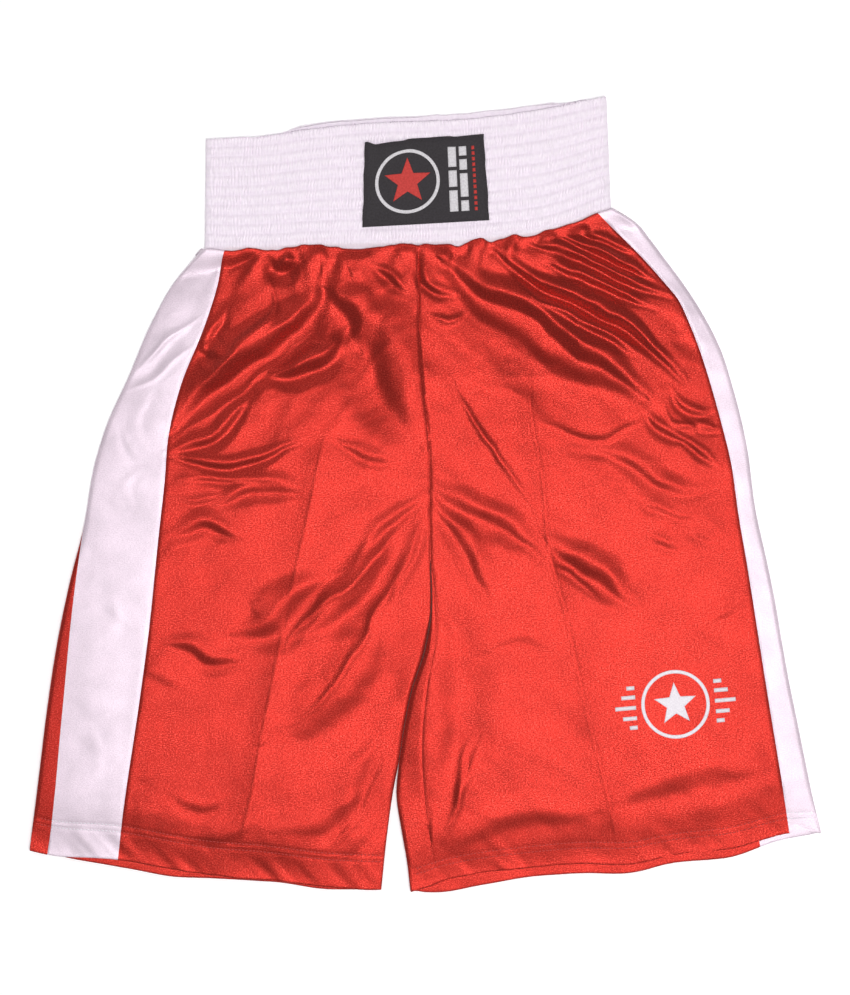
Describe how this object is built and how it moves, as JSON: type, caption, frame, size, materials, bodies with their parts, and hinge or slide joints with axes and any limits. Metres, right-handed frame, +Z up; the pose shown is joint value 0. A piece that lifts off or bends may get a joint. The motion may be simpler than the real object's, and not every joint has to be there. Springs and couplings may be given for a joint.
{
  "type": "boxing shorts",
  "caption": "Loose satin boxing shorts lying flat, with a deep shirred elastic waistband, front label patch, side stripes and a small leg print; waistband and legs fold.",
  "frame": {"origin": "under the middle of the garment's outline, on the surface it lies on", "axes": "+Z up out of the front of the garment, +Y towards the waist, +X towards the wearer's left side"},
  "size_m": [0.682, 0.6825, 0.0156],
  "materials": {
    "red_satin": "shiny knitted satin",
    "white_satin": "shiny knitted satin",
    "band_cloth": "shirred satin",
    "elastic": "woven elastic",
    "white_thread": "polyester thread",
    "red_thread": "polyester thread",
    "label_cloth": "woven label",
    "print_film": "heat-set printed film"
  },
  "bodies": {
    "left_leg": {"back_panel_left_leg": "red_satin", "front_panel_left_leg": "red_satin", "front_side_seam_left_leg": "red_thread", "hem_stitching_left": "red_thread", "inseam_left": "red_thread", "leg_print": "print_film", "rear_side_seam_left_leg": "red_thread", "side_stripe_left_leg": "white_satin"},
    "seat": {"back_panel_left_seat": "red_satin", "back_panel_right_seat": "red_satin", "centre_back_seam": "red_thread", "centre_front_seam": "red_thread", "front_panel_left_seat": "red_satin", "front_panel_right_seat": "red_satin", "front_side_seam_left_seat": "red_thread", "front_side_seam_right_seat": "red_thread", "rear_side_seam_left_seat": "red_thread", "rear_side_seam_right_seat": "red_thread", "side_stripe_left_seat": "white_satin", "side_stripe_right_seat": "white_satin", "waist_seam_overlock": "red_thread"},
    "right_leg": {"back_panel_right_leg": "red_satin", "front_panel_right_leg": "red_satin", "front_side_seam_right_leg": "red_thread", "hem_stitching_right": "red_thread", "inseam_right": "red_thread", "rear_side_seam_right_leg": "red_thread", "side_stripe_right_leg": "white_satin"},
    "waistband": {"label_patch": "label_cloth", "label_stitching": "white_thread", "waistband_closing_seam": "white_thread", "waistband_elastic": "elastic", "waistband_inner_cloth": "band_cloth", "waistband_outer_cloth": "band_cloth", "waistband_shirring_threads": "white_thread"}
  },
  "joints": [
    {"name": "waist_fold", "type": "hinge", "parent": "seat", "child": "waistband", "pos_m": [-0.0155, 0.22415, 0.0152], "axis": [0.996, 0.0889, 0], "range_deg": [0, 172]},
    {"name": "right_leg_fold", "type": "hinge", "parent": "seat", "child": "right_leg", "pos_m": [-0.17, -0.086, 0.0152], "axis": [-1, 0, 0], "range_deg": [0, 168]},
    {"name": "left_leg_fold", "type": "hinge", "parent": "seat", "child": "left_leg", "pos_m": [0.15, -0.086, 0.0152], "axis": [-1, 0, 0], "range_deg": [0, 168]}
  ]
}
